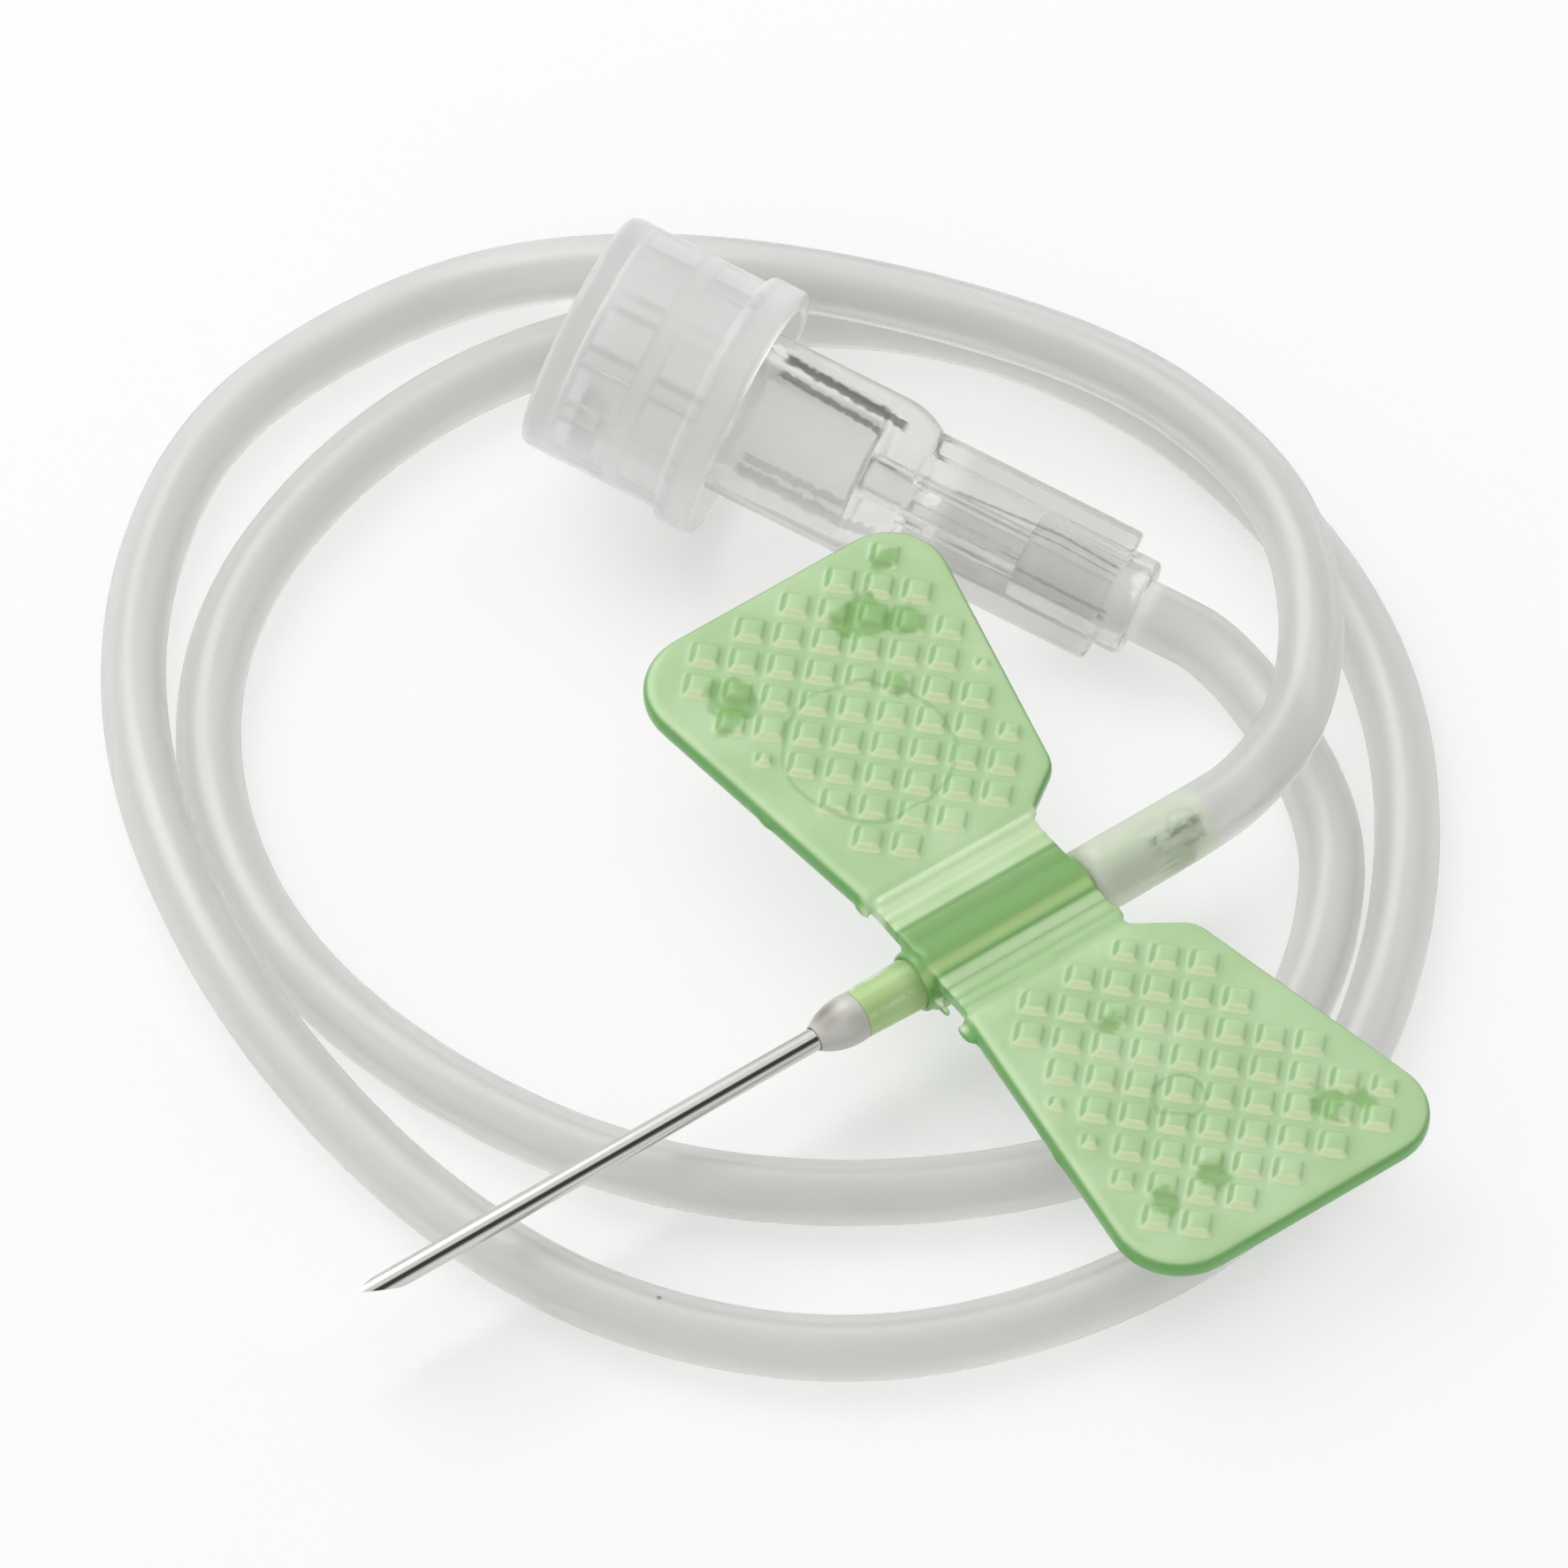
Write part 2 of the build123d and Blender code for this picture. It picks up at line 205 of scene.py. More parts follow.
steelLook = {
    "low": (0.58, 0.57, 0.54),
    "high": (0.74, 0.73, 0.70),
    "roughness": 0.13,
    "grainScale": 9000,
    "grainStretch": (0.02, 1, 1),
    "bumpStrength": 0.02,
    "bumpDepth": 0.02,
}


def steelMaterial():
    material, nodes, links, shader = startMaterial("drawnSteel")
    grain = surfaceNoise(nodes, links, steelLook["grainScale"], 3.0, steelLook["grainStretch"])
    color = mixColors(nodes, links, grain, steelLook["low"], steelLook["high"])
    links.new(color, shader.inputs["Base Color"])
    shader.inputs["Metallic"].default_value = 1.0
    shader.inputs["Roughness"].default_value = steelLook["roughness"]
    addBump(nodes, links, shader, grain, steelLook)
    return material


beadLook = {
    "low": (0.56, 0.545, 0.50),
    "high": (0.66, 0.645, 0.60),
    "paintedDark": (0.27, 0.26, 0.23),
    "paintedDarkSpot": (0.55, 0.3, 0.85),
    "paintedDarkReach": (0.85, 0.1),
    "cloudScale": 1400,
    "roughness": 0.42,
    "metallic": 0.25,
    "coat": 0.1,
    "coatRoughness": 0.25,
    "bumpStrength": 0.15,
    "bumpDepth": 0.06,
}


def beadMaterial():
    material, nodes, links, shader = startMaterial("pearlResin")
    cloud = surfaceNoise(nodes, links, beadLook["cloudScale"])
    color = mixColors(nodes, links, cloud, beadLook["low"], beadLook["high"])
    # a painted dark reflection around one spot of the dome
    gap = distanceFrom(nodes, links, hubPoint(beadLook["paintedDarkSpot"]))
    near = stepBetween(nodes, links, gap, *(reach * mm for reach in beadLook["paintedDarkReach"]))
    links.new(mixColors(nodes, links, near, color, beadLook["paintedDark"]), shader.inputs["Base Color"])
    shader.inputs["Metallic"].default_value = beadLook["metallic"]
    shader.inputs["Roughness"].default_value = beadLook["roughness"]
    shader.inputs["Coat Weight"].default_value = beadLook["coat"]
    shader.inputs["Coat Roughness"].default_value = beadLook["coatRoughness"]
    addBump(nodes, links, shader, cloud, beadLook)
    return material


tubeLook = {
    "low": (0.81, 0.81, 0.795),
    "high": (0.855, 0.855, 0.84),
    "cloudScale": 180,
    "roughness": 0.28,
    "clearness": 0.75,
    "bending": 1.4,
    # the ends that are pushed over the hub's spigot and bonded in the collar
    "stretched": {"color": (0.80, 0.865, 0.72), "roughness": 0.28, "clearness": 0.56},
    "bonded": {"color": (0.93, 0.93, 0.915), "roughness": 0.3, "clearness": 0.4},
    "stretchedMiddle": 13.7,
    "bondedMiddle": 1.2,
    "endReach": 2.75,
    "endFade": 0.3,
    # painted glints and dark reflections of the spigot's bore, seen through the stretched tube: crosswise
    # from and to, color, strength
    "paintedGlints": (
        (-0.66, -0.4, (0.26, 0.30, 0.20), 0.8),
        (-0.9, -0.74, (0.98, 0.99, 0.94), 0.8),
        (-1.06, -0.96, (0.30, 0.34, 0.24), 0.5),
    ),
    "paintedGlintSpan": (13.9, 15.9),
    "dashScale": 2600,
    "dashStretch": (0.7, 1, 1),
    "lampShare": 0.86,
    "lampTint": (0.98, 0.98, 0.975),
    "speck": (0.25, 0.24, 0.22),
    "specks": ((15.5, 27.2, 2.4), (-11.9, -12.4, 2.3), (3.9, -15.4, 2.3), (26.9, 1.3, 2.3)),
}


def tubeMaterial():
    material, nodes, links, shader = startMaterial("milkyTube")
    cloud = surfaceNoise(nodes, links, tubeLook["cloudScale"])
    color = mixColors(nodes, links, cloud, tubeLook["low"], tubeLook["high"])
    for spot in tubeLook["specks"]:
        near = stepBetween(nodes, links, distanceFrom(nodes, links, Vector(spot) * mm), 0.13 * mm, 0.05 * mm)
        color = mixColors(nodes, links, near, color, tubeLook["speck"])
    changing = {"roughness": tubeLook["roughness"], "clearness": tubeLook["clearness"]}
    reach, fade = tubeLook["endReach"] * mm, tubeLook["endFade"] * mm
    ends = {
        "stretched": hubPoint((tubeLook["stretchedMiddle"], 0, 0)),
        "bonded": connectorFrame @ (Vector((0, 0, tubeLook["bondedMiddle"])) * mm),
    }
    for name, middle in ends.items():
        held = stepBetween(nodes, links, distanceFrom(nodes, links, middle), reach + fade, reach)
        color = mixColors(nodes, links, held, color, tubeLook[name]["color"])
        for key in changing:
            change = product(nodes, links, held, tubeLook[name][key] - tubeLook[key])
            changing[key] = calculate(nodes, links, "ADD", change, changing[key])
    along, crosswise, _ = hubOffsets(nodes, links)
    noise = surfaceNoise(nodes, links, tubeLook["dashScale"], 2.0, tubeLook["dashStretch"])
    dashes = stepBetween(nodes, links, noise, 0.4, 0.56)
    start, end = tubeLook["paintedGlintSpan"]
    span = bandOver(nodes, links, along, start * mm, end * mm, 0.3 * mm)
    # painted glints and dark reflections, in dashes over the stretched end
    for low, high, tone, strength in tubeLook["paintedGlints"]:
        line = bandOver(nodes, links, crosswise, low * mm, high * mm, 0.06 * mm, strength)
        color = mixColors(nodes, links, product(nodes, links, line, dashes, span), color, tone)
    links.new(color, shader.inputs["Base Color"])
    links.new(changing["roughness"], shader.inputs["Roughness"])
    links.new(changing["clearness"], shader.inputs["Transmission Weight"])
    shader.inputs["IOR"].default_value = tubeLook["bending"]
    letLampsThrough(nodes, links, shader, tubeLook)
    return material


greenLook = {
    "base": (0.52, 0.715, 0.39),
    "pale": (0.60, 0.78, 0.475),
    "rim": (0.17, 0.43, 0.12),
    "paintedGlow": (0.82, 0.90, 0.60),
    "shade": (0.38, 0.60, 0.28),
    "deep": (0.25, 0.50, 0.14),
    "cloudScale": 260,
    "fineScale": 900,
    "roughness": 0.28,
    "clearness": 0.22,
    "bending": 1.45,
    "softness": 0.4,
    "softRadius": (0.6, 1.0, 0.5),
    "softDepth": 0.8,
    "coat": 0.2,
    "coatRoughness": 0.14,
    "bumpStrength": 0.3,
    "bumpDepth": 0.08,
    "lampShare": 0.88,
    "lampTint": (0.975, 0.965, 0.975),
    "wingTop": 1.32,
    # pad sides turned these ways are painted lit and shaded
    "paintedGlowSide": (-0.62, -0.62, 0.48),
    "shadeSide": (-0.55, 0.7, 0.45),
    # place on the wings and radius
    "stains": (
        ((11.5, 12.8), 1.0),
        ((12.5, 12.1), 0.75),
        ((10.8, 13.1), 0.6),
        ((5.5, 12.5), 0.95),
        ((4.9, 11.8), 0.65),
        ((10.75, 9.85), 0.5),
        ((13.4, 14.4), 0.45),
        ((12.1, -13.0), 0.7),
        ((13.2, -13.4), 0.5),
        ((5.1, -13.1), 0.65),
        ((7.2, -13.2), 0.55),
        ((8.0, -6.0), 0.45),
    ),
    "rings": (((8.1, 8.1), 2.9), ((8.2, -9.75), 0.85)),
    # crosswise from and to, softness of the edge, tone, strength; the sleeve's darker middle is painted shade
    # and the bright band below it a painted highlight
    "bands": (
        (-1.1, 1.25, 0.14, "sleeve", 0.9),
        (-0.15, 0.75, 0.35, "paintedDark", 0.6),
        (1.2, 1.42, 0.08, "line", 0.8),
        (-0.78, -0.42, 0.1, "paintedHighlight", 0.8),
        (-1.06, -0.9, 0.06, "line", 0.75),
        (-1.42, -1.2, 0.08, "strip", 0.3),
        (-1.64, -1.5, 0.05, "line", 0.45),
        (2.05, 2.9, 0.2, "strip", 0.7),
        (-2.9, -1.8, 0.2, "shade", 0.55),
    ),
    "sleeve": (0.25, 0.49, 0.15),
    "paintedDark": (0.18, 0.42, 0.10),
    "line": (0.13, 0.34, 0.07),
    "paintedHighlight": (0.46, 0.64, 0.24),
    "strip": (0.73, 0.86, 0.61),
}


def greenMaterial():
    material, nodes, links, shader = startMaterial("softGreen")
    cloud = surfaceNoise(nodes, links, greenLook["cloudScale"], 3.0)
    fine = surfaceNoise(nodes, links, greenLook["fineScale"], 3.0)
    clouded = stepBetween(nodes, links, cloud, 0.35, 0.65)
    color = mixColors(nodes, links, clouded, greenLook["base"], greenLook["pale"])
    up = facing(nodes, links, headFrame.to_3x3().col[2])
    color = mixColors(nodes, links, stepBetween(nodes, links, up, 0.9, 0.4), color, greenLook["rim"])
    _, crosswise, height = hubOffsets(nodes, links)
    # bands across the hub; on the sleeve, the darker middle is painted shade and the bright band a painted
    # highlight
    for low, high, edge, name, strength in greenLook["bands"]:
        band = bandOver(nodes, links, crosswise, low * mm, high * mm, edge * mm, strength)
        color = mixColors(nodes, links, band, color, greenLook[name])
    offCentre = calculate(nodes, links, "ABSOLUTE", crosswise)
    onWings = stepBetween(nodes, links, offCentre, 3.1 * mm, 3.4 * mm)
    atRim = stepBetween(nodes, links, height, 1.3 * mm, 1.2 * mm)
    color = mixColors(nodes, links, product(nodes, links, atRim, onWings, 0.85), color, greenLook["rim"])
    onPads = product(nodes, links, stepBetween(nodes, links, height, 1.315 * mm, 1.35 * mm), onWings)
    tilted = product(nodes, links, stepBetween(nodes, links, up, 0.995, 0.95), onPads)
    # pad sides turned one fixed way are painted in shade, the others painted with the glow of light shining
    # through them
    for side, tone, least in (("shadeSide", "shade", 0.5), ("paintedGlowSide", "paintedGlow", 0.52)):
        turned = stepBetween(nodes, links, facing(nodes, links, greenLook[side]), least, least + 0.3)
        color = mixColors(nodes, links, product(nodes, links, turned, tilted), color, greenLook[tone])
    ragged = raggedShift(nodes, links, fine, 1.6 * mm)
    for spot, radius in greenLook["stains"]:
        gap = distanceFrom(nodes, links, hubPoint((*spot, greenLook["wingTop"])), ragged)
        near = stepBetween(nodes, links, gap, (radius + 0.12) * mm, (radius - 0.22) * mm, 0.0, 0.75)
        color = mixColors(nodes, links, near, color, greenLook["deep"])
    wavy = raggedShift(nodes, links, cloud, 0.9 * mm)
    for spot, radius in greenLook["rings"]:
        gap = distanceFrom(nodes, links, hubPoint((*spot, greenLook["wingTop"])), wavy)
        offLine = offFrom(nodes, links, gap, radius * mm)
        near = stepBetween(nodes, links, offLine, 0.13 * mm, 0.04 * mm, 0.0, 0.34)
        color = mixColors(nodes, links, near, color, greenLook["rim"])
    links.new(color, shader.inputs["Base Color"])
    shader.inputs["Roughness"].default_value = greenLook["roughness"]
    shader.inputs["IOR"].default_value = greenLook["bending"]
    shader.inputs["Transmission Weight"].default_value = greenLook["clearness"]
    shader.inputs["Subsurface Weight"].default_value = greenLook["softness"]
    shader.inputs["Subsurface Radius"].default_value = greenLook["softRadius"]
    shader.inputs["Subsurface Scale"].default_value = greenLook["softDepth"] * mm
    shader.inputs["Coat Weight"].default_value = greenLook["coat"]
    shader.inputs["Coat Roughness"].default_value = greenLook["coatRoughness"]
    addBump(nodes, links, shader, fine, greenLook)
    letLampsThrough(nodes, links, shader, greenLook)
    return material


hubLook = {
    "low": (0.50, 0.72, 0.30),
    "high": (0.60, 0.80, 0.40),
    "spigot": (0.42, 0.52, 0.32),
    "spigotFrom": 11.4,
    "paintedDarkReflection": (0.10, 0.12, 0.07),
    "paintedGleam": (1.0, 1.0, 0.97),
    # painted shade where the barrel runs under the sleeve
    "deep": (0.20, 0.40, 0.11),
    # painted dark reflections and highlights on the spigot and the barrel: crosswise from and to, lengthwise
    # from and to, tone, strength
    "lines": (
        (0.18, 0.36, 13.6, 15.9, "paintedDarkReflection", 0.9),
        (-0.1, 0.08, 13.6, 15.9, "paintedGleam", 0.9),
        (-0.28, -0.18, 13.6, 15.9, "paintedDarkReflection", 0.6),
        (0.5, 0.75, 1.7, 3.3, "paintedGleam", 0.5),
        (-0.72, -0.6, 1.9, 3.6, "paintedGleam", 0.35),
    ),
    "cloudScale": 900,
    "dashScale": 2600,
    "dashStretch": (1, 0.4, 1),
    "sleeveFrom": 3.8,
    "roughness": 0.2,
    "clearness": 0.28,
    "bending": 1.5,
    "bumpStrength": 0.1,
    "bumpDepth": 0.04,
    "lampShare": 0.7,
    "lampTint": (0.9, 0.96, 0.88),
}


def hubMaterial():
    material, nodes, links, shader = startMaterial("hubGreen")
    cloud = surfaceNoise(nodes, links, hubLook["cloudScale"])
    color = mixColors(nodes, links, cloud, hubLook["low"], hubLook["high"])
    along, crosswise, _ = hubOffsets(nodes, links)
    spigotStart = hubLook["spigotFrom"] * mm
    rear = stepBetween(nodes, links, along, spigotStart - 0.2 * mm, spigotStart + 0.2 * mm)
    color = mixColors(nodes, links, rear, color, hubLook["spigot"])
    # painted shade on the barrel where it runs under the sleeve
    shadeUnderSleeve = bandOver(nodes, links, along, hubLook["sleeveFrom"] * mm, spigotStart, 0.5 * mm, 0.6)
    color = mixColors(nodes, links, shadeUnderSleeve, color, hubLook["deep"])
    noise = surfaceNoise(nodes, links, hubLook["dashScale"], 2.0, hubLook["dashStretch"])
    dashes = stepBetween(nodes, links, noise, 0.42, 0.56)
    # painted reflections on the spigot and painted highlights on the barrel
    for low, high, start, end, tone, strength in hubLook["lines"]:
        span = bandOver(nodes, links, along, start * mm, end * mm, 0.3 * mm)
        line = bandOver(nodes, links, crosswise, low * mm, high * mm, 0.05 * mm, strength)
        color = mixColors(nodes, links, product(nodes, links, line, span, dashes), color, hubLook[tone])
    links.new(color, shader.inputs["Base Color"])
    shader.inputs["Roughness"].default_value = hubLook["roughness"]
    shader.inputs["IOR"].default_value = hubLook["bending"]
    shader.inputs["Transmission Weight"].default_value = hubLook["clearness"]
    addBump(nodes, links, shader, cloud, hubLook)
    letLampsThrough(nodes, links, shader, hubLook)
    return material


clearLook = {
    "low": (0.84, 0.84, 0.825),
    "high": (0.885, 0.885, 0.87),
    "ribs": (0.72, 0.72, 0.705),
    "dark": (0.08, 0.08, 0.07),
    "paintedGleam": (1.0, 1.0, 1.0),
    "drawnScale": 700,
    "hairScale": 3500,
    "gleamScale": 1500,
    "ribSpan": (0.2, 6.6),
    "roughness": (0.1, 0.22),
    "clearness": 0.93,
    "gleamClearness": 0.25,
    "bending": 1.38,
    "bumpStrength": 0.05,
    "bumpDepth": 0.04,
    "lampShare": 0.96,
    "lampTint": (0.97, 0.97, 0.965),
    # painted dark reflections along the moulding marks, and broad painted shade: start height and angle, end
    # height and angle, half width in degrees, strength
    "paintedDarkStreaks": (
        (8.9, 98.0, 13.8, 105.5, 4.6, 0.97),
        (2.4, 90.0, 6.4, 80.5, 1.6, 0.7),
        (0.1, 85.0, 2.4, 90.0, 1.4, 0.7),
        (8.3, 14.0, 13.6, 15.5, 5.0, 0.45),
        (-0.2, 25.0, 4.3, 26.5, 3.0, 0.5),
    ),
    # painted highlights: angle, radius, height and reach of the spots where the moulding catches the light
    "paintedGleams": (
        (79.0, 2.8, 7.95, 0.62),
        (60.0, 2.5, 7.0, 0.3),
        (32.0, 2.4, 6.6, 0.25),
        (84.0, 1.8, -0.95, 0.42),
        (66.0, 1.8, -0.9, 0.36),
        (111.0, 3.0, 14.1, 0.35),
    ),
}


def turnAndHeight(nodes, links):
    # angle in degrees and height of a surface point about the connector's axis
    turned = connectorFrame.to_3x3()
    sides = [offsetAlong(nodes, links, connectorFrame.translation, turned.col[axis]) for axis in range(3)]
    turn = calculate(nodes, links, "ARCTAN2", sides[1], sides[0])
    return product(nodes, links, turn, 180 / pi), sides[2]


def clearMaterial():
    material, nodes, links, shader = startMaterial("clearPlastic")
    drawn = surfaceNoise(nodes, links, clearLook["drawnScale"], 3.0)
    color = mixColors(nodes, links, drawn, clearLook["low"], clearLook["high"])
    turn, height = turnAndHeight(nodes, links)
    start, end = clearLook["ribSpan"]
    alongRibs = bandOver(nodes, links, height, start * mm, end * mm, 0.5 * mm, 0.8)
    color = mixColors(nodes, links, alongRibs, color, clearLook["ribs"])
    hairs = surfaceNoise(nodes, links, clearLook["hairScale"])
    # painted dark reflections and shade, with ragged edges
    for startHeight, startTurn, endHeight, endTurn, width, strength in clearLook["paintedDarkStreaks"]:
        lean = (endTurn - startTurn) / (endHeight - startHeight) / mm
        middle = product(nodes, links, height, lean)
        middle = calculate(nodes, links, "ADD", middle, startTurn - lean * startHeight * mm)
        ragged = raggedShift(nodes, links, hairs, width * 2)
        off = calculate(nodes, links, "ADD", offFrom(nodes, links, turn, middle), ragged)
        line = stepBetween(nodes, links, off, width + 1.4, width - 1.4)
        span = bandOver(nodes, links, height, startHeight * mm, endHeight * mm, 0.15 * mm, strength)
        color = mixColors(nodes, links, product(nodes, links, line, span), color, clearLook["dark"])
    # painted highlights, which also let less light through
    paintedHighlight = None
    noise = surfaceNoise(nodes, links, clearLook["gleamScale"], 3.0)
    ragged = raggedShift(nodes, links, noise, 0.9 * mm)
    for angle, radius, level, reach in clearLook["paintedGleams"]:
        spot = Vector((radius * cos(radians(angle)), radius * sin(radians(angle)), level)) * mm
        gap = distanceFrom(nodes, links, connectorFrame @ spot, ragged)
        near = stepBetween(nodes, links, gap, (reach + 0.12) * mm, (reach - 0.2) * mm)
        paintedHighlight = near if paintedHighlight is None else calculate(nodes, links, "MAXIMUM", paintedHighlight, near)
    color = mixColors(nodes, links, paintedHighlight, color, clearLook["paintedGleam"])
    links.new(color, shader.inputs["Base Color"])
    links.new(stepBetween(nodes, links, drawn, 0.3, 0.7, *clearLook["roughness"]), shader.inputs["Roughness"])
    shader.inputs["IOR"].default_value = clearLook["bending"]
    clear = stepBetween(nodes, links, paintedHighlight, 0.0, 1.0, clearLook["clearness"], clearLook["gleamClearness"])
    links.new(clear, shader.inputs["Transmission Weight"])
    addBump(nodes, links, shader, drawn, clearLook)
    letLampsThrough(nodes, links, shader, clearLook)
    return material


frostLook = {
    "low": (0.95, 0.95, 0.94),
    "high": (0.98, 0.98, 0.97),
    "window": (0.99, 0.99, 0.985),
    "seam": (0.80, 0.80, 0.79),
    "seamHalfWidth": 0.05,
    "cloudScale": 500,
    "patchScale": 260,
    "frostScale": 4000,
    "roughness": (0.28, 0.4),
    "clearness": 0.74,
    "bending": 1.42,
    "coat": 0.25,
    "coatRoughness": 0.15,
    "bumpStrength": 0.12,
    "bumpDepth": 0.02,
    "lampShare": 0.95,
    "lampTint": (0.96, 0.96, 0.955),
    "windowRows": ((15.3, 17.25), (17.95, 19.9)),
    "windows": 12,
    "windowHalfTurn": 10.5,
}


def frostMaterial():
    material, nodes, links, shader = startMaterial("frostedPlastic")
    cloud = surfaceNoise(nodes, links, frostLook["cloudScale"])
    color = mixColors(nodes, links, cloud, frostLook["low"], frostLook["high"])
    turn, height = turnAndHeight(nodes, links)
    # ten windows are added to keep the share above zero, and half of one to put its middle at one half
    share = product(nodes, links, turn, frostLook["windows"] / 360)
    share = calculate(nodes, links, "FRACT", calculate(nodes, links, "ADD", share, 10.5))
    off = offFrom(nodes, links, share, 0.5)
    half = frostLook["windowHalfTurn"] * frostLook["windows"] / 360
    column = stepBetween(nodes, links, off, half + 0.02, half - 0.02)
    sideLine = stepBetween(nodes, links, offFrom(nodes, links, off, half), 0.11, 0.0)
    patches = surfaceNoise(nodes, links, frostLook["patchScale"], 1.0)
    patchy = stepBetween(nodes, links, patches, 0.42, 0.58, 0.3, 1.0)
    width = frostLook["seamHalfWidth"]
    for low, high in frostLook["windowRows"]:
        row = bandOver(nodes, links, height, low * mm, high * mm, 0.1 * mm, 0.9)
        inside = product(nodes, links, row, column, patchy)
        color = mixColors(nodes, links, inside, color, frostLook["window"])
        seam = product(nodes, links, row, sideLine)
        for level in (low, high):
            line = bandOver(nodes, links, height, (level - width) * mm, (level + width) * mm, 0.12 * mm, 0.8)
            seam = calculate(nodes, links, "MAXIMUM", seam, line)
        color = mixColors(nodes, links, product(nodes, links, seam, patchy), color, frostLook["seam"])
    links.new(color, shader.inputs["Base Color"])
    links.new(stepBetween(nodes, links, cloud, 0.3, 0.7, *frostLook["roughness"]), shader.inputs["Roughness"])
    shader.inputs["IOR"].default_value = frostLook["bending"]
    shader.inputs["Transmission Weight"].default_value = frostLook["clearness"]
    shader.inputs["Coat Weight"].default_value = frostLook["coat"]
    shader.inputs["Coat Roughness"].default_value = frostLook["coatRoughness"]
    addBump(nodes, links, shader, surfaceNoise(nodes, links, frostLook["frostScale"]), frostLook)
    letLampsThrough(nodes, links, shader, frostLook)
    return material


steel = steelMaterial()
pearlResin = beadMaterial()
milkyTube = tubeMaterial()
softGreen = greenMaterial()
hubGreen = hubMaterial()
clearPlastic = clearMaterial()
frostedPlastic = frostMaterial()

for node, material in (("needle_cannula", steel), ("hub_nose", pearlResin), ("needle_hub", hubGreen)):
    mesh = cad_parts[node].data
    mesh.materials.clear()
    mesh.materials.append(material)
print("materials made")


# Making and placing a piece

def finishPiece(bm, name, place, material, node, body="set", crease=35):
    # the bmesh goes to its place in the frame, and its CAD node is hidden
    bmesh.ops.remove_doubles(bm, verts=bm.verts, dist=0.001)
    bmesh.ops.recalc_face_normals(bm, faces=bm.faces)
    bmesh.ops.transform(bm, matrix=place @ Matrix.Scale(mm, 4), verts=bm.verts)
    mesh = bpy.data.meshes.new(name)
    bm.to_mesh(mesh)
    bm.free()
    return placePiece(mesh, name, material, node, body, crease)


def placePiece(mesh, name, material, node, body="set", crease=35):
    mesh.shade_smooth()
    mesh.set_sharp_from_angle(angle=radians(crease))
    mesh.materials.clear()
    mesh.materials.append(material)
    piece = bpy.data.objects.new(name, mesh)
    bpy.context.scene.collection.objects.link(piece)
    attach(piece, body)
    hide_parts(node)
    return piece


def combine(base, cutter, operation):
    # both bmeshes are used up, and the result is a new one
    objects = []
    for bm in (base, cutter):
        bmesh.ops.recalc_face_normals(bm, faces=bm.faces)
        mesh = bpy.data.meshes.new("combineStock")
        bm.to_mesh(mesh)
        bm.free()
        stock = bpy.data.objects.new("combineStock", mesh)
        bpy.context.scene.collection.objects.link(stock)
        objects.append(stock)
    joiner = objects[0].modifiers.new("combine", "BOOLEAN")
    joiner.operation = operation
    joiner.solver = "EXACT"
    joiner.object = objects[1]
    result = bmesh.new()
    result.from_object(objects[0], bpy.context.evaluated_depsgraph_get())
    for stock in objects:
        mesh = stock.data
        bpy.data.objects.remove(stock)
        bpy.data.meshes.remove(mesh)
    return result


def turnProfile(bm, corners, rounded, sides=96):
    # corners are (radius, height); rounded gives the radius at some of them
    verts = [bm.verts.new((radius, 0, height)) for radius, height in corners]
    face = bm.faces.new(verts)
    for number, radius in rounded.items():
        bmesh.ops.bevel(
            bm,
            geom=[verts[number]],
            affect="VERTICES",
            offset=radius,
            segments=5,
            profile=0.5,
            material=-1,
        )
    edges = [edge for edge in bm.edges if max(abs(vert.co.x) for vert in edge.verts) > 0.0001]
    bmesh.ops.delete(bm, geom=[face for face in bm.faces if face.normal.length], context="FACES_ONLY")
    outline = [edge for edge in edges if edge.is_valid]
    points = list({vert for edge in outline for vert in edge.verts})
    bmesh.ops.spin(
        bm,
        geom=outline + points,
        cent=(0, 0, 0),
        axis=(0, 0, 1),
        angle=2 * pi,
        steps=sides,
        use_merge=True,
    )
    bmesh.ops.remove_doubles(bm, verts=bm.verts, dist=0.0005)
    bmesh.ops.dissolve_degenerate(bm, edges=bm.edges, dist=0.0001)


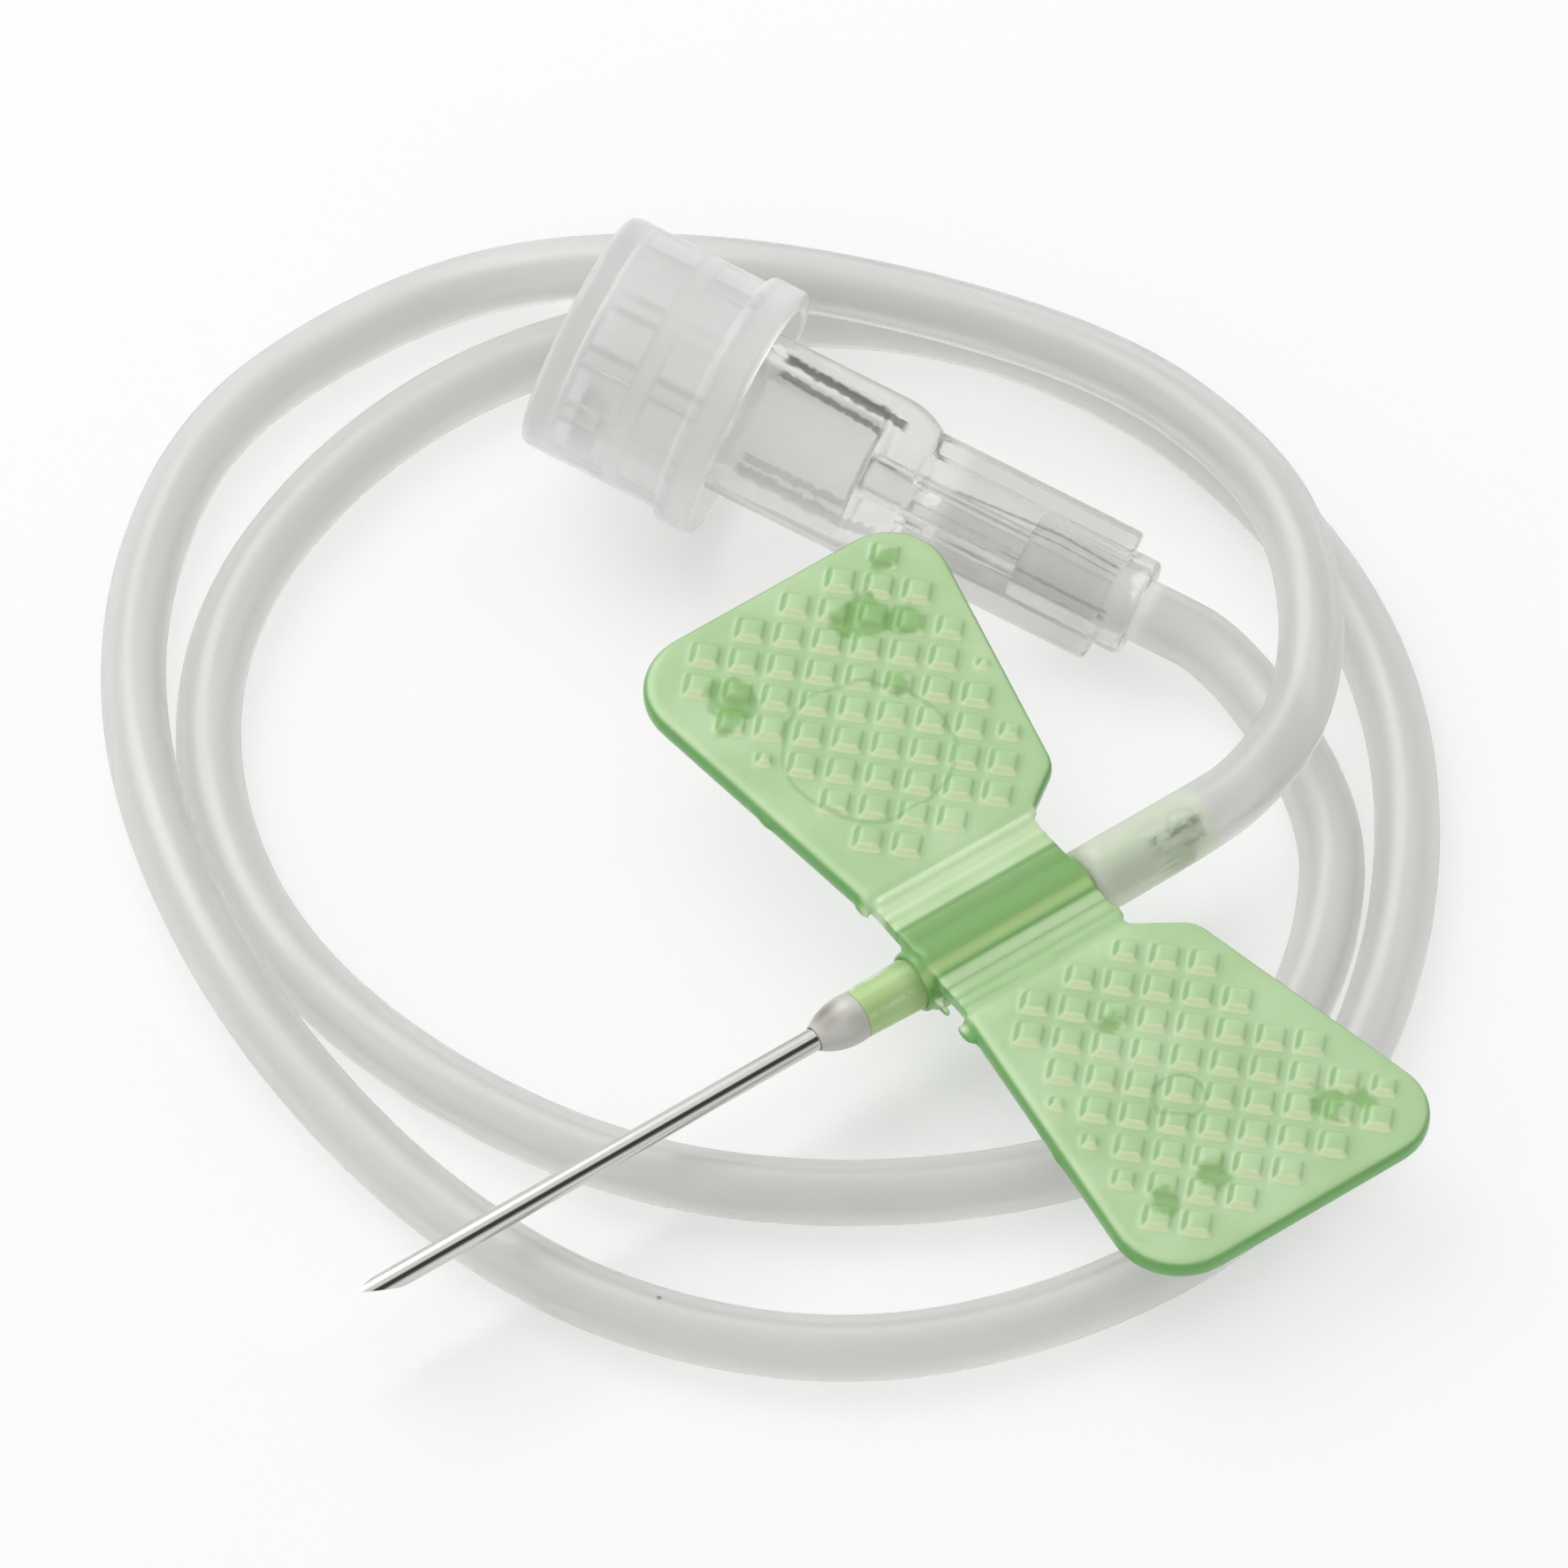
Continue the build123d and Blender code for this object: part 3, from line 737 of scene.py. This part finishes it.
def slabOfCircle(bm, radius, inner, width, low, high, edge, turn):
    # a block with straight sides and a round outer face, turned about Z
    before = set(bm.verts)
    bmesh.ops.create_circle(bm, cap_ends=True, radius=radius, segments=96)
    cuts = (
        ((0, width / 2, 0), (0, 1, 0)),
        ((0, -width / 2, 0), (0, -1, 0)),
        ((inner, 0, 0), (-1, 0, 0)),
    )
    for spot, way in cuts:
        fresh = [vert for vert in bm.verts if vert not in before]
        geometry = fresh + list({item for vert in fresh for item in (*vert.link_edges, *vert.link_faces)})
        bmesh.ops.bisect_plane(bm, geom=geometry, plane_co=spot, plane_no=way, clear_outer=True)
    fresh = [vert for vert in bm.verts if vert not in before]
    corners = [vert for vert in fresh if abs(abs(vert.co.y) - width / 2) < 0.001 and vert.co.x > inner + 0.01]
    bmesh.ops.bevel(bm, geom=corners, affect="VERTICES", offset=edge, segments=4, profile=0.5, material=-1)
    fresh = [vert for vert in bm.verts if vert not in before]
    bmesh.ops.translate(bm, verts=fresh, vec=(0, 0, low))
    face = next(face for face in bm.faces if face.verts[0] in fresh)
    raised = bmesh.ops.extrude_face_region(bm, geom=[face], use_keep_orig=True)["geom"]
    upper = [item for item in raised if isinstance(item, bmesh.types.BMVert)]
    bmesh.ops.translate(bm, verts=upper, vec=(0, 0, high - low))
    fresh = [vert for vert in bm.verts if vert not in before]
    freshEdges = [item for item in bm.edges if item.verts[0] in fresh]
    rear = [item for item in freshEdges if all(abs(vert.co.z - low) < 0.001 for vert in item.verts)]
    bmesh.ops.bevel(bm, geom=rear, affect="EDGES", offset=edge * 0.8, segments=3, profile=0.5, material=-1)
    fresh = [vert for vert in bm.verts if vert not in before]
    bmesh.ops.rotate(bm, verts=fresh, cent=(0, 0, 0), matrix=Matrix.Rotation(radians(turn), 3, "Z"))


# Connector

connector = {
    "rearEnd": -1.06,
    "collarRadius": 1.795,
    "coreRadius": 1.85,
    "tubeHole": 1.17,
    "holeEnd": 3.42,
    "passage": 0.6,
    "ribLength": 7.76,
    "ribRadius": connectorPlace["ribRadius"],
    "ribWidth": 1.5,
    "ribInner": 1.4,
    "ribEdge": 0.16,
    "ribs": 4,
    "shoulderEnd": 9.17,
    "barrelRadius": 3.0,
    "mouth": 19.6,
    "mouthBore": 2.15,
    "socketDepth": 10.0,
    "taper": 0.03,
    "lugRadius": 3.9,
    "lugLength": 0.9,
    "lugWidth": 2.6,
    "lugInner": 2.6,
    "lugEdge": 0.12,
    "lugSetback": 0.2,
}


def makeConnector():
    size = connector
    floorRadius = size["mouthBore"] - size["taper"] * size["socketDepth"]
    corners = [
        (size["tubeHole"], size["rearEnd"]),
        (size["collarRadius"], size["rearEnd"]),
        (size["collarRadius"], 0.0),
        (size["coreRadius"], 0.05),
        (size["coreRadius"], size["ribLength"]),
        (size["ribRadius"], size["ribLength"]),
        (size["barrelRadius"], size["shoulderEnd"] - 0.35),
        (size["barrelRadius"], size["mouth"]),
        (size["mouthBore"], size["mouth"]),
        (floorRadius, size["mouth"] - size["socketDepth"]),
        (size["passage"], size["mouth"] - size["socketDepth"]),
        (size["passage"], size["holeEnd"]),
        (size["tubeHole"], size["holeEnd"]),
    ]
    body = bmesh.new()
    rounded = {1: 0.2, 4: 0.15, 5: 0.25, 6: 0.6, 7: 0.2, 8: 0.1, 9: 0.3, 10: 0.2}
    turnProfile(body, corners, rounded)
    extras = bmesh.new()
    for number in range(size["ribs"]):
        turn = 45 + number * 360 / size["ribs"]
        end = size["ribLength"] + 0.2
        slabOfCircle(
            extras,
            size["ribRadius"],
            size["ribInner"],
            size["ribWidth"],
            0.0,
            end,
            size["ribEdge"],
            turn,
        )
    for turn in (0, 180):
        top = size["mouth"] - size["lugSetback"]
        foot = top - size["lugLength"]
        slabOfCircle(
            extras,
            size["lugRadius"],
            size["lugInner"],
            size["lugWidth"],
            foot,
            top,
            size["lugEdge"],
            turn,
        )
    return finishPiece(
        combine(body, extras, "UNION"),
        "clearConnector",
        connectorFrame,
        clearPlastic,
        "luer_connector",
    )


makeConnector()
print("connector made")


# Cap

cap = {
    "openEnd": 14.24,
    "flangeLength": 1.47,
    "flangeRadius": 4.72,
    "skirtRadius": 4.435,
    "closedEnd": 21.1,
    "cavityRadius": 4.005,
    "cavityEnd": 20.2,
    "coneRadius": 2.11,
    "coneTipRadius": 1.96,
    "coneTip": 14.6,
    "panels": frostLook["windows"],
    "panelWidth": 1.55,
    "panelDepth": 0.14,
    "panelRows": frostLook["windowRows"],
}


def makeCap():
    size = cap
    flangeEnd = size["openEnd"] + size["flangeLength"]
    corners = [
        (0.0, size["closedEnd"]),
        (size["skirtRadius"], size["closedEnd"]),
        (size["skirtRadius"], flangeEnd),
        (size["flangeRadius"], flangeEnd),
        (size["flangeRadius"], size["openEnd"]),
        (size["cavityRadius"], size["openEnd"]),
        (size["cavityRadius"], size["cavityEnd"]),
        (size["coneRadius"], size["cavityEnd"]),
        (size["coneTipRadius"], size["coneTip"]),
        (0.0, size["coneTip"]),
    ]
    body = bmesh.new()
    rounded = {1: 0.35, 2: 0.12, 3: 0.28, 4: 0.28, 5: 0.15, 6: 0.2, 7: 0.15, 8: 0.2}
    turnProfile(body, corners, rounded)
    panels = bmesh.new()
    for low, high in size["panelRows"]:
        for number in range(size["panels"]):
            fresh = bmesh.ops.create_cube(panels, size=1)["verts"]
            bmesh.ops.scale(panels, verts=fresh, vec=(1.0, size["panelWidth"], high - low))
            reach = size["cavityRadius"] + size["panelDepth"] - 0.5
            bmesh.ops.translate(panels, verts=fresh, vec=(reach, 0, (low + high) / 2))
            turn = Matrix.Rotation(2 * pi * number / size["panels"], 3, "Z")
            bmesh.ops.rotate(panels, verts=fresh, cent=(0, 0, 0), matrix=turn)
    return finishPiece(
        combine(body, panels, "DIFFERENCE"),
        "frostedCap",
        connectorFrame,
        frostedPlastic,
        "luer_cap",
        "cap",
    )


makeCap()
print("cap made")


# Wing plate: a soft moulding, so its edges and pads are melted together

wings = {
    "voxel": 0.00009,
    "top": greenLook["wingTop"],
    "meltFactor": 0.5,
    "meltSteps": 8,
    "padLift": 1.5,
    "padHeight": 0.19,
    "padSlope": 0.13,
    "padSink": 0.05,
    "flashStretch": (0.55, 1.5, 0.6),
    "wingsFrom": 3.3,
    # pads that the edge of the pattern cuts short: place and side
    "extraPads": (
        (13.63, 10.82, 0.95),
        (13.63, 8.9, 0.5),
        (12.66, 6.01, 0.75),
        (4.97, 9.86, 0.6),
        (8.44, -3.83, 1.0),
        (6.51, -3.83, 1.0),
        (10.36, -3.83, 0.85),
        (5.55, -4.79, 1.0),
        (4.59, -11.52, 0.8),
        (14.21, -13.45, 0.85),
        (4.59, -9.6, 0.6),
        (4.59, -7.68, 0.55),
    ),
    # flash along the edges: place and radius
    "flash": (
        ((3.62, 9.15, 0.85), 0.33),
        ((3.6, 8.6, 0.95), 0.28),
        ((3.68, 8.0, 0.9), 0.38),
        ((3.8, 7.55, 0.85), 0.3),
        ((3.5, -9.35, 0.85), 0.3),
        ((3.62, -9.0, 0.9), 0.22),
        ((3.95, -3.3, 0.85), 0.3),
        ((4.15, 3.0, 0.85), 0.28),
        ((11.35, 2.95, 1.15), 0.2),
        ((11.3, -2.1, 0.95), 0.24),
        ((11.15, -1.35, 0.8), 0.26),
        ((4.3, -1.55, 0.15), 0.28),
    ),
    # ridges where the strips meet the wings: start, end and radius
    "ridges": (
        ((4.6, 2.72, 1.12), (11.15, 2.72, 1.12), 0.2),
        ((4.9, -2.35, 1.1), (8.2, -2.62, 1.12), 0.1),
        ((4.7, -2.85, 1.14), (7.2, -3.15, 1.2), 0.09),
    ),
}


def makeWings():
    bm = bmesh.new()
    bm.from_mesh(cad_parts["wing_plate"].data)
    bmesh.ops.remove_doubles(bm, verts=bm.verts, dist=0.000001)
    bmesh.ops.transform(bm, matrix=headFrame.inverted(), verts=bm.verts)
    for spot, radius in wings["flash"]:
        fresh = bmesh.ops.create_icosphere(bm, subdivisions=3, radius=radius * mm)["verts"]
        bmesh.ops.scale(bm, verts=fresh, vec=wings["flashStretch"])
        bmesh.ops.translate(bm, verts=fresh, vec=Vector(spot) * mm)
    for start, end, radius in wings["ridges"]:
        start, end = Vector(start) * mm, Vector(end) * mm
        along = (end - start).to_track_quat("Z", "Y").to_matrix().to_4x4()
        bmesh.ops.create_cone(
            bm,
            cap_ends=True,
            segments=16,
            radius1=radius * mm,
            radius2=radius * mm,
            depth=(end - start).length,
            matrix=Matrix.Translation((start + end) / 2) @ along,
        )
    padMiddle = wings["top"] - wings["padSink"] + wings["padHeight"] / 2
    for x, y, side in wings["extraPads"]:
        bmesh.ops.create_cone(
            bm,
            cap_ends=True,
            segments=4,
            radius1=side / 2 * 2**0.5 * mm,
            radius2=(side / 2 - wings["padSlope"]) * 2**0.5 * mm,
            depth=wings["padHeight"] * mm,
            matrix=Matrix.Translation(Vector((x, y, padMiddle)) * mm),
        )
    mesh = bpy.data.meshes.new("wingStock")
    bm.to_mesh(mesh)
    bm.free()
    stock = bpy.data.objects.new("wingStock", mesh)
    bpy.context.scene.collection.objects.link(stock)
    melt = stock.modifiers.new("melt", "REMESH")
    melt.mode = "VOXEL"
    melt.voxel_size = wings["voxel"]
    soften = stock.modifiers.new("soften", "SMOOTH")
    soften.factor = wings["meltFactor"]
    soften.iterations = wings["meltSteps"]
    melted = bpy.data.meshes.new_from_object(stock.evaluated_get(bpy.context.evaluated_depsgraph_get()))
    bpy.data.objects.remove(stock)
    for vert in melted.vertices:
        rise = vert.co.z - wings["top"] * mm
        if rise > 0 and abs(vert.co.y) > wings["wingsFrom"] * mm:
            vert.co.z += rise * (wings["padLift"] - 1)
    melted.transform(headFrame)
    melted.name = "softWings"
    print("wing faces", len(melted.polygons))
    placePiece(melted, "softWings", softGreen, "wing_plate", crease=180)


makeWings()
print("wings made")


# Tubing: its route is the same list of points as the part's, with one more point
# where the hub's spigot ends

tubing = {
    "outerRadius": 1.15,
    "innerRadius": 0.75,
    "sides": 32,
    "swollen": 1.11,  # where it is pushed over the hub's spigot
    "swollenPoints": 2,
    "route": [
        (9.67, -7.4, 3.7),
        (14.4, -7.4, 3.7),
        (16.9, -7.2, 3.75),
        (20.0, -5.9, 3.8),
        (22.9, -3.0, 3.85),
        (25.0, 0.9, 3.9),
        (25.5, 5.0, 3.9),
        (24.4, 10.5, 3.9),
        (20.3, 17.2, 3.9),
        (14.9, 23.0, 4.0),
        (10.4, 28.6, 1.15),
        (4.2, 29.5, 1.15),
        (-2.4, 28.6, 1.15),
        (-8.3, 24.2, 1.15),
        (-12.8, 17.8, 2.0),
        (-15.5, 10.2, 2.4),
        (-16.2, 2.9, 1.7),
        (-15.4, -4.7, 1.15),
        (-13.0, -11.6, 1.15),
        (-7.9, -17.4, 1.15),
        (-0.8, -20.4, 1.15),
        (7.2, -20.8, 1.15),
        (14.3, -17.4, 1.15),
        (20.3, -12.2, 1.15),
        (24.8, -5.3, 1.15),
        (26.5, 2.2, 1.15),
        (25.7, 10.4, 1.15),
        (22.0, 17.6, 1.15),
        (15.6, 22.6, 1.15),
        (8.2, 25.2, 1.15),
        (0.8, 24.7, 1.15),
        (-6.2, 21.7, 1.15),
        (-11.1, 16.2, 1.15),
        (-13.5, 8.8, 1.15),
        (-12.7, 1.1, 1.15),
        (-9.4, -6.5, 1.15),
        (-3.9, -12.0, 1.15),
        (3.4, -15.8, 1.15),
        (10.4, -16.3, 1.15),
        (15.9, -13.1, 1.15),
        (19.9, -8.3, 1.15),
    ],
    "tailStations": (-4.6, -1.2, 3.4),
}


def routeCurve(name, bevel=0.0):
    curve = bpy.data.curves.new(name, "CURVE")
    curve.dimensions = "3D"
    curve.resolution_u = 12
    curve.bevel_depth = bevel
    curve.bevel_resolution = tubing["sides"] // 4 - 1
    points = [Vector(point) * mm for point in tubing["route"]]
    points += [(ribEnd + mouthWay * station) * mm for station in tubing["tailStations"]]
    spline = curve.splines.new("NURBS")
    spline.points.add(len(points) - 1)
    for number, (spot, point) in enumerate(zip(spline.points, points)):
        spot.co = (*point, 1)
        spot.radius = tubing["swollen"] if number < tubing["swollenPoints"] else 1.0
    spline.order_u = 3
    spline.use_endpoint_u = True
    return bpy.data.objects.new(name, curve)


def lineOfRoute():
    guide = routeCurve("tubeGuide")
    bpy.context.scene.collection.objects.link(guide)
    mesh = bpy.data.meshes.new_from_object(guide)
    line = [vertex.co.copy() for vertex in mesh.vertices]
    bpy.data.objects.remove(guide)
    return line


def makeTubing():
    line = lineOfRoute()
    solid = routeCurve("tubeSkin", tubing["outerRadius"] * mm)
    bpy.context.scene.collection.objects.link(solid)
    mesh = bpy.data.meshes.new_from_object(solid)
    bpy.data.objects.remove(solid)
    piece = bpy.data.objects.new("clearTubing", mesh)
    bpy.context.scene.collection.objects.link(piece)
    mesh.shade_smooth()
    wall = piece.modifiers.new("wall", "SOLIDIFY")
    wall.thickness = (tubing["outerRadius"] - tubing["innerRadius"]) * mm
    wall.offset = -1
    mesh.materials.clear()
    mesh.materials.append(milkyTube)
    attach(piece, "set")
    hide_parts("tubing")


makeTubing()


# Floor, light and camera

studio = {
    "floorSize": 1.2,
    "floorColor": (0.93, 0.93, 0.93),
    "floorLift": 0.1,
    "skyLevel": 0.74,
    "skySeen": 0.95,
    "skyShades": ((0.0, 1.0), (0.5, 0.9), (1.0, 1.0)),
    "darkSide": {"x": (0.1, 0.6), "y": (-0.86, -0.3), "edge": 0.1, "shade": 0.06},
}

keyLamp = {"place": (-0.02, 0.6, 0.75), "size": 0.7, "power": 4}

view = {
    "sensor": 36,
    "lens": 403.8,
    "azimuth": -36.08,
    "elevation": 51.56,
    "roll": 0.335,
    "target": (1.33, -1.25, 9.11),
    "distance": 600.5,
}


def seenRays(nodes, links):
    # one for rays from the camera, off gloss or through clear plastic
    ray = nodes.new("ShaderNodeLightPath")
    seen = calculate(nodes, links, "ADD", ray.outputs["Is Camera Ray"], ray.outputs["Is Glossy Ray"])
    seen = calculate(nodes, links, "ADD", seen, ray.outputs["Is Transmission Ray"])
    return calculate(nodes, links, "MINIMUM", seen, 1.0)


def makeFloor():
    bm = bmesh.new()
    bmesh.ops.create_grid(bm, x_segments=1, y_segments=1, size=studio["floorSize"] / 2)
    mesh = bpy.data.meshes.new("floor")
    bm.to_mesh(mesh)
    bm.free()
    floor = bpy.data.objects.new("floor", mesh)
    bpy.context.scene.collection.objects.link(floor)
    material, nodes, links, shader = startMaterial("floorWhite")
    shader.inputs["Base Color"].default_value = (*studio["floorColor"], 1)
    shader.inputs["Roughness"].default_value = 1.0
    shader.inputs["Specular IOR Level"].default_value = 0.0
    shader.inputs["Emission Color"].default_value = (1, 1, 1, 1)
    lift = product(nodes, links, seenRays(nodes, links), studio["floorLift"])
    links.new(lift, shader.inputs["Emission Strength"])
    mesh.materials.append(material)


def makeWorld():
    world = bpy.data.worlds.new("studioWorld")
    world.use_nodes = True
    bpy.context.scene.world = world
    nodes, links = world.node_tree.nodes, world.node_tree.links
    background = nodes["Background"]
    way = nodes.new("ShaderNodeTexCoord")
    split = nodes.new("ShaderNodeSeparateXYZ")
    links.new(way.outputs["Generated"], split.inputs["Vector"])
    bands = nodes.new("ShaderNodeValToRGB")
    while len(bands.color_ramp.elements) > 1:
        bands.color_ramp.elements.remove(bands.color_ramp.elements[-1])
    for number, (height, shade) in enumerate(studio["skyShades"]):
        stop = bands.color_ramp.elements[0] if number == 0 else bands.color_ramp.elements.new(height)
        stop.position = height
        stop.color = (shade, shade, shade, 1)
    links.new(split.outputs["Z"], bands.inputs["Fac"])
    dark = studio["darkSide"]  # the unlit corner of the room that the steel mirrors
    acrossSky = bandOver(nodes, links, split.outputs["X"], *dark["x"], dark["edge"])
    alongSky = bandOver(nodes, links, split.outputs["Y"], *dark["y"], dark["edge"])
    aloft = stepBetween(nodes, links, split.outputs["Z"], 0.0, 0.2)
    patch = product(nodes, links, acrossSky, alongSky, aloft)
    sky = mixColors(nodes, links, patch, bands.outputs["Color"], (dark["shade"],) * 3)
    links.new(sky, background.inputs["Color"])
    seen = seenRays(nodes, links)
    level = stepBetween(nodes, links, seen, 0.0, 1.0, studio["skyLevel"], studio["skySeen"])
    links.new(level, background.inputs["Strength"])


def makeLamp():
    lamp = bpy.data.lights.new("keyLamp", "AREA")
    lamp.size = keyLamp["size"]
    lamp.energy = keyLamp["power"]
    holder = bpy.data.objects.new("keyLamp", lamp)
    holder.location = keyLamp["place"]
    holder.rotation_mode = "QUATERNION"
    # it is aimed at the origin
    holder.rotation_quaternion = (-Vector(keyLamp["place"])).to_track_quat("-Z", "Y")
    bpy.context.scene.collection.objects.link(holder)


def makeCamera():
    camera = bpy.data.cameras.new("camera")
    camera.sensor_width = view["sensor"]
    camera.lens = view["lens"]
    camera.clip_start = 0.01
    camera.clip_end = 10
    azimuth, elevation, roll = (radians(view[key]) for key in ("azimuth", "elevation", "roll"))
    back = Vector((sin(azimuth) * cos(elevation), -cos(azimuth) * cos(elevation), sin(elevation)))
    holder = bpy.data.objects.new("camera", camera)
    holder.location = (Vector(view["target"]) + back * view["distance"]) * mm
    holder.rotation_mode = "QUATERNION"
    turned = (-back).to_track_quat("-Z", "Y").to_matrix() @ Matrix.Rotation(roll, 3, "Z")
    holder.rotation_quaternion = turned.to_quaternion()
    bpy.context.scene.collection.objects.link(holder)
    bpy.context.scene.camera = holder


makeFloor()
makeWorld()
makeLamp()
makeCamera()
bpy.context.scene.view_settings.view_transform = "Standard"
